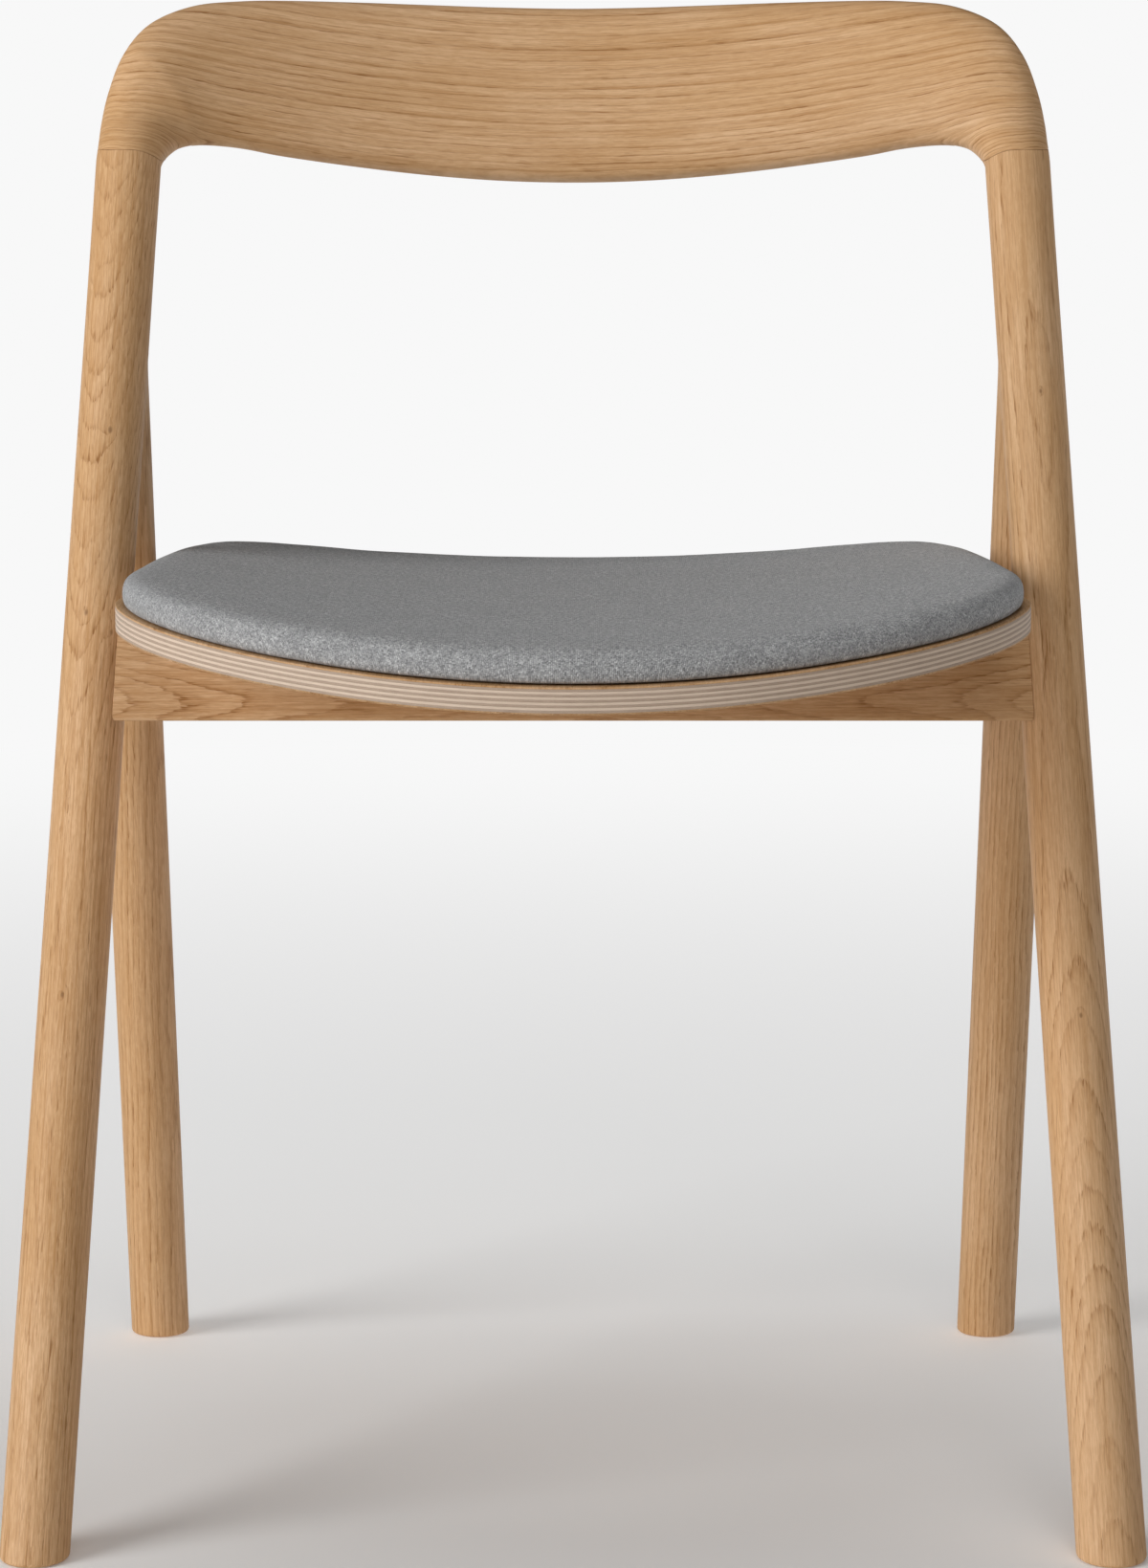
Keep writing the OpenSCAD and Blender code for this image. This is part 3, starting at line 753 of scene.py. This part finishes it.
def wool(name):
    """Woven melange wool: a two-up one-down twill of slightly uneven yarns, each mottled along its length with light and dark fibres."""
    M = Mat(name)
    g = M.attr("weave")
    u, v, w = M.xyz(g)
    wob = M.mul(M.sub(M.noise(M.vec(M.mul(u, 0.06), M.mul(v, 0.06), 0.0), 1.0, 2.0, 0.5), 0.5), 1.4)
    wob2 = M.mul(M.sub(M.noise(M.vec(M.mul(u, 0.4), M.mul(v, 0.4), 5.0), 1.0, 2.0, 0.5), 0.5), 0.5)
    uu, vv = M.add(M.add(u, wob), wob2), M.add(M.add(v, M.mul(wob, 0.7)), wob2)
    pu, pv = M.math("DIVIDE", uu, 0.92), M.math("DIVIDE", vv, 0.98)
    iu, iv = M.math("FLOOR", pu), M.math("FLOOR", pv)
    fu, fv = M.sub(M.math("FRACT", pu), 0.5), M.sub(M.math("FRACT", pv), 0.5)
    weft = M.math("LESS_THAN", M.math("FLOORED_MODULO", M.add(iu, iv), 3.0), 0.5)
    warp = M.sub(1.0, weft)
    across = M.add(M.mul(fu, warp), M.mul(fv, weft))
    crown = M.sub(1.0, M.mul(M.mul(across, across), 3.6))
    warp_n = M.noise(M.vec(M.mul(iu, 7.31), M.mul(vv, 0.75), 0.0), 1.0, 2.0, 0.7)
    weft_n = M.noise(M.vec(M.mul(uu, 0.75), M.mul(iv, 5.77), 4.0), 1.0, 2.0, 0.7)
    yarn = M.add(M.mul(warp_n, warp), M.mul(weft_n, weft))
    fuzz = M.noise(M.vec(M.mul(u, 2.3), M.mul(v, 2.3), M.mul(w, 2.3)), 1.0, 3.0, 0.7)
    cloud = M.noise(M.vec(M.mul(u, 0.035), M.mul(v, 0.035), 0.0), 1.0, 3.0, 0.55)
    mel = M.add(M.mul(yarn, 0.60), M.mul(fuzz, 0.40))
    c = M.mix(M.step(mel, 0.36, 0.62), (0.175, 0.176, 0.177), (0.595, 0.596, 0.598))
    # tufts of lighter and darker fibres, combed longer on the top face than on the band
    top = M.step(w, 13.2, 15.2)
    for du, dv, at, amount in ((1.1, 0.50, 2.0, M.mul(M.sub(1.0, top), 0.20)), (0.75, 0.34, 7.0, M.mul(top, 0.52))):
        tuft = M.noise(M.vec(M.mul(u, du), M.mul(v, dv), at), 1.0, 2.0, 0.6)
        c = M.mix(M.mul(M.step(tuft, 0.50, 0.66), amount), c, (0.66, 0.66, 0.655))
        c = M.mix(M.mul(M.step(tuft, 0.50, 0.34), amount), c, (0.14, 0.141, 0.143))
    c = M.mix(M.mul(M.step(yarn, 0.58, 0.70), 0.40), c, (0.82, 0.82, 0.81))
    slub = M.noise(M.vec(M.mul(u, 0.30), M.mul(v, 0.16), 9.0), 1.0, 2.0, 0.6)
    c = M.mix(M.mul(M.step(cloud, 0.40, 0.62), 0.12), c, (0.20, 0.203, 0.208))
    c = M.mix(M.mul(M.step(slub, 0.38, 0.64), 0.30), c, (0.17, 0.172, 0.176))
    # painted shade: each yarn darkens towards its sides and into the gaps between yarns, by half at the most
    c = M.mix(M.step(crown, 0.05, 0.65, 0.50, 0.0), c, (0.06, 0.061, 0.064))
    height = M.add(M.mul(crown, 0.8), M.mul(fuzz, 0.4))
    return M.finish(c, 0.92, height, 0.0003, 0.7, 0.12, sheen=0.28)


def foam(name):
    M = Mat(name)
    g = M.vmul(M.node("ShaderNodeTexCoord").outputs["Object"], (1000, 1000, 1000))
    v = M.node("ShaderNodeTexVoronoi", None, {"Vector": g, "Scale": 0.9}).outputs[0]
    n = M.noise(g, 0.2, 2.0, 0.5)
    c = M.mix(M.step(v, 0.1, 0.6), (0.62, 0.55, 0.38), (0.86, 0.80, 0.62))
    c = M.mix(M.mul(n, 0.3), c, (0.78, 0.68, 0.42))
    return M.finish(c, 0.95, v, 0.0004, 0.5, 0.2)


def metal(name, base=(0.62, 0.62, 0.63)):
    M = Mat(name)
    g = M.vmul(M.node("ShaderNodeTexCoord").outputs["Object"], (1000, 1000, 1000))
    n = M.noise(M.vmul(g, (3.0, 3.0, 0.5)), 1.0, 3.0, 0.6)
    n2 = M.noise(g, 0.35, 3.0, 0.6)
    c = M.mix(M.mul(M.step(n2, 0.4, 0.65), 0.4), base, (0.45, 0.45, 0.44))
    return M.finish(c, M.step(n, 0.3, 0.7, 0.28, 0.44, "LINEAR"), n, 0.00005, 0.3, 0.5, extra={"Metallic": 1.0})


def glide_plastic(name):
    M = Mat(name)
    g = M.vmul(M.node("ShaderNodeTexCoord").outputs["Object"], (1000, 1000, 1000))
    n = M.noise(g, 1.6, 3.0, 0.6)
    n2 = M.noise(g, 0.25, 2.0, 0.5)
    c = M.mix(M.mul(M.step(n2, 0.35, 0.7), 0.5), (0.68, 0.62, 0.52), (0.55, 0.49, 0.40))
    return M.finish(c, M.step(n, 0.3, 0.7, 0.5, 0.68, "LINEAR"), n, 0.00008, 0.4, 0.4)


# ------------------------------------------------------------------ build the oak frame
def dress(ob, mat, slot, *replaced):
    ob.data.materials.clear()
    ob.data.materials.append(mat)
    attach(ob, "root")
    if replaced:
        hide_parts(*replaced)
    return ob


oak_fl = oak("oak_post_left", 0.0, plane=(0.47, 0.88), spacing=(3.0, 0), drift=(("above", 0.17, 400),), wander=5, figure=0.58, fine=1.1,
             knots=((546, -1.5, 15.5, 1.3), (452, 4, 15, 1.2), (443, -8, 13, 1.2), (262, 3, 15.5, 1.0)))
oak_fr = oak("oak_post_right", 1.0, plane=(0.04, 1.0), spacing=(4.0, 0), drift=(("below", 0.15, 330),), wander=9, figure=0.55, fine=0.75,
             knots=((566, 2, 15.5, 0.9), (252, 1, 15.8, 0.9)))
oak_rl = oak("oak_rear_left", 2.0, plane=(0.92, -0.35), spacing=(3.0, 0), drift=(("above", 0.05, 200),), wander=5, tone=0.97, figure=0.8)
oak_rr = oak("oak_rear_right", 3.0, plane=(0.97, 0.2), spacing=(2.6, 0), wander=4, tone=0.97, contrast=0.9)
oak_back = oak("oak_backrest", 4.0, plane=(0.49, 0.87), spacing=(3.2, 0.054), drift=(("bow", -0.000616, 0),), wander=3.2, figure=0.82, jag=0.35, follow=True)
# painted shade: the front rail's oak is toned darker (0.94) for the seat's shade that falls on it
oak_rail_f = oak("oak_front_rail", 5.0, pith=(0.7, -7.4), spacing=(3.0, 0), drift=(("bow", -0.0003, 0),), wander=5, tone=0.94, figure=1.0, fine=0.9, jag=1.3)
oak_rail_r = oak("oak_rear_rail", 6.0, pith=(2.0, -9.0), spacing=(3.4, 0), drift=(("bow", 0.0003, 40),), wander=3)

dress(front_leg("front_post_left", False, (0, 0, 0)), oak_fl, "oak", "front_leg_left")
dress(front_leg("front_post_right", True, (0, 0, 0)), oak_fr, "oak", "front_leg_right")
dress(rear_leg("back_leg_left", False, (0, 0, 0)), oak_rl, "oak", "rear_leg_left")
dress(rear_leg("back_leg_right", True, (0, 0, 0)), oak_rr, "oak", "rear_leg_right")
dress(backrest("backrest_slat"), oak_back, "oak", "backrest")
rail_f = rail("seat_rail_front", 0.0, POST_LEAN, 12.0, 14.0, 363.7, FRONT_FOOT, U, LEG_R, (0, 0, 0))
rail_r = rail("seat_rail_rear", REAR_FOOT[1], REAR_LEAN, 11.0, 11.0, 364.0, REAR_FOOT, W, REAR_R, (0, 0, 0))
dress(recess(rail_f, POST_LEAN * 386 - 2.5, 375.7, 0.0, POST_LEAN), oak_rail_f, "oak", "front_rail")
dress(recess(rail_r, REAR_FOOT[1] + REAR_LEAN * 383, 376.0, REAR_FOOT[1], REAR_LEAN), oak_rail_r, "oak", "rear_rail")

# ------------------------------------------------------------------ moulded plywood seat
mat_veneer = oak("oak_veneer_face", 7.0, plane=(0.10, 0.04), spacing=(3.6, 0), drift=(("bow", 0.00035, 150),), wander=10, tone=0.9)
mat_light = ply_edge("ply_long_grain", (0.70, 0.555, 0.435), (0.55, 0.42, 0.32), False)
mat_dark = ply_edge("ply_cross_grain", (0.450, 0.340, 0.258), (0.33, 0.240, 0.175), True)
dress(ply_piece("seat_face_veneer", [(0, VENEER, 0.0, 0.45, 0)], (0, 0, 0), True), mat_veneer, "oak_veneer", "seat_top_veneer")
dress(ply_piece("seat_core_long", [(VENEER + i * PLY, VENEER + (i + 1) * PLY, 0.0, 0, 0) for i in (1, 3, 5, 7)], (0, 0, 0), True),
      mat_light, "ply_light", "seat_long_grain_plies")
dress(ply_piece("seat_core_cross", [(VENEER + i * PLY, VENEER + (i + 1) * PLY, -0.03, 0, 0) for i in (0, 2, 4, 6, 8)], (0, 0, 0), False),
      mat_dark, "ply_dark", "seat_cross_grain_plies")
dress(ply_piece("seat_under_veneer", [(VENEER + CORE, SEAT_T, 0.0, 0, 0.5)], (0, 0, 60), True), mat_veneer, "oak_veneer", "seat_bottom_veneer")


# ------------------------------------------------------------------ pad
def pad_shape(name, shrink=0.0, slack=0.0):
    """The pad as a closed form: flat underside, upright band with rounded arrises, a low crown on top that starts lower by slack."""
    rings = [lift(toward(off(-4 - shrink), k), PAD_GAP + 0.1) for k in (0.08, 0.25, 0.42, 0.58, 0.72, 0.84, 0.93)]
    side = [np.array(p) for p in ((-3.2, 0.1), (-1.7, 0.5), (-0.75, 1.3), (-0.25, 2.6), (-0.03, 4.0), (0, 5.4), (-0.15, 7.2), (-0.55, 9.1),
                                  (-1.35, 11.0), (-2.6, 12.6), (-4.5, 14.0), (-7.5, 15.0), (-11.5, 15.5))]
    whole = [2 * side[0] - side[1]] + side + [2 * side[-1] - side[-2]]
    for d, h in [cr(*whole[i:i + 4], t) for i in range(len(side) - 1) for t in (0, 0.5)] + [side[-1]]:
        rings.append(lift(off(d - shrink), PAD_GAP + 0.3 * smooth((h - 6) / 8) + (h if h < 6 else h - 0.5 * (h - 6) / 9.5)))
    inner = off(-11.5 - shrink)
    for k in (0.98, 0.95, 0.91, 0.87, 0.82, 0.77, 0.72, 0.66, 0.6, 0.53, 0.46, 0.38, 0.3, 0.22, 0.14, 0.08, 0.04):
        q = toward(inner, k)
        rings.append(lift(q, PAD_H + 0.3 + PAD_CROWN * (1 - k * k) * 0.9 - slack * (1 - k ** 4)))
    v, f = ring_skin(rings)
    return make_mesh(name, np.array(v), f)


def inflate(ob, cap_mm, voxel=0.0045):
    """Remesh, blow the cover up with cloth pressure, hold each point near where it began; gives where points began and ended."""
    rm = ob.modifiers.new("remesh", "REMESH")
    rm.mode, rm.voxel_size, rm.use_smooth_shade = "VOXEL", voxel, True
    bpy.context.view_layer.update()
    me = bpy.data.meshes.new_from_object(ob.evaluated_get(bpy.context.evaluated_depsgraph_get()))
    ob.modifiers.clear()
    old, ob.data = ob.data, me
    bpy.data.meshes.remove(old)
    start = np.array([v.co for v in ob.data.vertices], float)
    c = ob.modifiers.new("cloth", "CLOTH")
    s = c.settings
    s.quality, s.mass = 6, 0.3
    s.tension_stiffness = s.compression_stiffness = 22
    s.shear_stiffness, s.bending_stiffness = 8, 1.2
    s.use_pressure, s.uniform_pressure_force = True, 4.0
    s.effector_weights.gravity = 0
    c.point_cache.frame_start, c.point_cache.frame_end = 1, 20
    for fr in range(1, 21):
        scene.frame_set(fr)
    dg = bpy.context.evaluated_depsgraph_get()
    out = ob.evaluated_get(dg).to_mesh()
    end = np.array([v.co for v in out.vertices], float)
    ob.evaluated_get(dg).to_mesh_clear()
    move = end - start
    d = np.linalg.norm(move, axis=1)
    move *= np.minimum(1, cap_mm * 0.001 / np.maximum(d, 1e-9))[:, None]
    ob.modifiers.clear()
    scene.frame_set(1)
    e = np.zeros(len(ob.data.edges) * 2, np.int32)
    ob.data.edges.foreach_get("vertices", e)
    e = e.reshape(-1, 2)
    deg = np.maximum(np.bincount(e.ravel(), minlength=len(start)), 1)[:, None]
    for _ in range(4):                                  # evens out the steps of the remesh
        acc = np.zeros_like(move)
        np.add.at(acc, e[:, 0], move[e[:, 1]])
        np.add.at(acc, e[:, 1], move[e[:, 0]])
        move = 0.5 * move + 0.5 * acc / deg
    return start, move


def carry(ob, start, move):
    """Moves each point of a finer mesh as the nearest points of the simulated one moved."""
    tree = KDTree(len(start))
    for i, p in enumerate(start):
        tree.insert(p, i)
    tree.balance()
    co = np.array([v.co for v in ob.data.vertices], float)
    out = co.copy()
    for i, p in enumerate(co):
        near = tree.find_n(p, 8)
        w = np.array([1 / (0.001 + d) ** 2 for _, _, d in near])
        out[i] = p + (move[[k for _, k, _ in near]] * w[:, None]).sum(0) / w.sum()
    ob.data.vertices.foreach_set("co", out.astype(np.float32).ravel())
    ob.data.update()
    return np.linalg.norm(out - co, axis=1)


# blowing the cover up lifts its top and draws its sides in, so it starts a little wider and flatter
SHRINK, SLACK = ((-0.5, 0.5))
pad = pad_shape("seat_pad", SHRINK, SLACK)
blown = pad_shape("pad_blown", SHRINK, SLACK)
began, moved = inflate(blown, 0.6)
bpy.data.objects.remove(blown)
swell = carry(pad, began, moved)
print("pad swell, mm: mean %.2f most %.2f" % (swell.mean() * 1000, swell.max() * 1000))
# back down on to the plywood where it would have swelled into it
co = np.array([v.co for v in pad.data.vertices], float) * 1000 + np.array([0, Y_MID, 0])
low = seat_at(co[:, 0], PAD_GAP * 0.6)
co[:, 2] = np.maximum(co[:, 2], low)
pad.data.vertices.foreach_set("co", to_frame(co).astype(np.float32).ravel())
pad.data.update()
pad.data.polygons.foreach_set("use_smooth", [True] * len(pad.data.polygons))
# the weave runs across the top and turns down over the band
co = np.array([v.co for v in pad.data.vertices], float) * 1000 + np.array([0, Y_MID, 0])
h = (SEAT_R - np.hypot(co[:, 0], AXIS_Z - co[:, 2]))
drop = np.maximum(0, PAD_H - h)
near = np.empty(len(co), int)
for a in range(0, len(co), 4000):
    d2 = ((co[a:a + 4000, None, :2] - OUTLINE[None]) ** 2).sum(2)
    near[a:a + 4000] = d2.argmin(1)
nrm = ONORM[near]
weave = np.column_stack([co[:, 0] + nrm[:, 0] * drop, co[:, 1] + nrm[:, 1] * drop, h])
at = pad.data.attributes.new("weave", "FLOAT_VECTOR", "POINT")
at.data.foreach_set("vector", weave.astype(np.float32).ravel())
mat_wool = wool("grey_wool")
dress(pad, mat_wool, "wool", "pad_cover", "pad_foam")

# ------------------------------------------------------------------ small parts keep their CAD shape
beech = oak("beech_dowel", 8.0, plane=(0.7, 0.7), spacing=(2.0, 0), wander=3, tone=1.05, contrast=0.5, source="object")
board = oak("pad_board_wood", 9.0, plane=(0.1, 0.05), spacing=(4.0, 0), drift=(("bow", 0.0003, 0),), wander=12, tone=0.9, contrast=0.8, source="object")
steel, glide, foam_mat = metal("zinc_steel"), glide_plastic("glide_plastic"), foam("foam")
for names, mat in ((("backrest_dowels", "rear_leg_dowels", "front_rail_dowels", "rear_rail_dowels"), beech), (("pad_board",), board),
                   (("seat_inserts", "seat_bolts", "pad_screws"), steel), (("front_glides", "rear_glides"), glide), (("pad_foam",), foam_mat),
                   (("pad_cover",), mat_wool), (("front_leg_left", "front_leg_right", "rear_leg_left", "rear_leg_right", "backrest", "front_rail",
                                                "rear_rail"), beech), (("seat_top_veneer", "seat_bottom_veneer"), board),
                   (("seat_long_grain_plies",), board), (("seat_cross_grain_plies",), board)):
    for n in names:
        me = NODES[n].data
        me.materials.clear()
        me.materials.append(mat)

# ------------------------------------------------------------------ floor, light, camera
fm = Mat("studio_floor")
pos = fm.vmul(fm.node("ShaderNodeTexCoord").outputs["Object"], (1, 1, 1))
grain_n = fm.noise(pos, 90.0, 3.0, 0.6)
dist = fm.node("ShaderNodeVectorMath", {"operation": "LENGTH"}, {0: fm.vadd(pos, (0, 1.3, 0))}).outputs["Value"]
floor_col = fm.mix(fm.mul(grain_n, 0.05), (0.88, 0.88, 0.875), (0.82, 0.82, 0.815))
bsdf = fm.node("ShaderNodeBsdfDiffuse", None, {"Color": floor_col})
# painted light: the floor glows, from nothing in front of the chair up to 0.34 behind it, and from 1.2 m to 3.8 m out
# it turns into an even white glow of 1.02
near = fm.node("ShaderNodeEmission", None, {"Color": (0.92, 0.92, 0.92, 1), "Strength": fm.step(fm.xyz(pos)[1], -0.8, 0.8, 0.0, 0.34)})
glow = fm.node("ShaderNodeEmission", None, {"Color": (0.92, 0.92, 0.92, 1), "Strength": 1.02})
both = fm.node("ShaderNodeAddShader", None, {0: bsdf.outputs[0], 1: near.outputs[0]})
mixs = fm.node("ShaderNodeMixShader", None, {0: fm.step(dist, 1.2, 3.8, 0.0, 1.0), 1: both.outputs[0], 2: glow.outputs[0]})
outn = fm.node("ShaderNodeOutputMaterial")
fm.t.links.new(mixs.outputs[0], outn.inputs[0])
bm = bmesh.new()
rows = [(0.6, 0), (1.2, 0), (2.4, 0), (5.0, 0), (9.0, 0), (11.2, 0)]
rows += [(11.2 + 0.8 * math.sin(math.radians(a)), 0.8 - 0.8 * math.cos(math.radians(a))) for a in (15, 30, 45, 60, 75, 90)]
rows += [(12.0, 1.5)]
centre = bm.verts.new((0, 0, 0))
prev = None
for r, z in rows:
    ring = [bm.verts.new((r * math.cos(2 * math.pi * k / 96), r * math.sin(2 * math.pi * k / 96), z)) for k in range(96)]
    for k in range(96):
        if prev is None:
            bm.faces.new((centre, ring[k], ring[(k + 1) % 96]))
        else:
            bm.faces.new((prev[k], ring[k], ring[(k + 1) % 96], prev[(k + 1) % 96]))
    prev = ring
me = bpy.data.meshes.new("floor")
bm.to_mesh(me)
bm.free()
floor = bpy.data.objects.new("floor", me)
scene.collection.objects.link(floor)
floor.data.materials.append(fm.m)

world = bpy.data.worlds.new("studio")
scene.world = world
world.use_nodes = True
bg = world.node_tree.nodes.get("Background") or world.node_tree.nodes.new("ShaderNodeBackground")
bg.inputs[0].default_value = (0.92, 0.92, 0.92, 1)
bg.inputs[1].default_value = 0.05


def area_light(name, loc, target, size, power, colour=(1, 1, 1)):
    l = bpy.data.lights.new(name, "AREA")
    l.shape, l.size, l.energy, l.color = "DISK", size, power, colour
    o = bpy.data.objects.new(name, l)
    o.location = loc
    d = Vector(target) - Vector(loc)
    o.rotation_euler = d.to_track_quat("-Z", "Y").to_euler()
    scene.collection.objects.link(o)
    return o


def studio_light(name, azimuth, elevation, distance, size, power, up=0.0):
    """A soft round light seen from the chair at an azimuth (0 in front, minus to the left) and an elevation."""
    a, e = math.radians(azimuth), math.radians(elevation)
    d = Vector((math.sin(a) * math.cos(e), -math.cos(a) * math.cos(e), math.sin(e)))
    t = Vector((0, 0, 0.38))
    return area_light(name, t + d * distance + Vector((0, 0, up)), t, size, power)


studio_light("key", -57, 8, 4.2, 2.6, 136, 0.75)
studio_light("front", 10, 24, 3.2, 1.4, 12)
studio_light("side_fill", 95, 12, 3.2, 1.4, 3.0)
studio_light("top", 0, 90, 3.0, 1.8, 15)

cam = bpy.data.cameras.new("camera")
cam.sensor_fit, cam.sensor_width = "AUTO", 36
cam.lens = 5278.3 * 36 / 1639
cam.shift_x, cam.shift_y = 0.97 / 1639, 0.0
cam.clip_start, cam.clip_end = 0.05, 200
camera = bpy.data.objects.new("camera", cam)
camera.location = (0, -2.228 - Y_MID * 0.001, 0.6863)
camera.rotation_euler = (math.pi / 2 - 0.1466, 0, 0)
scene.collection.objects.link(camera)
scene.camera = camera
scene.view_settings.view_transform = "Standard"
scene.view_settings.look = "None"
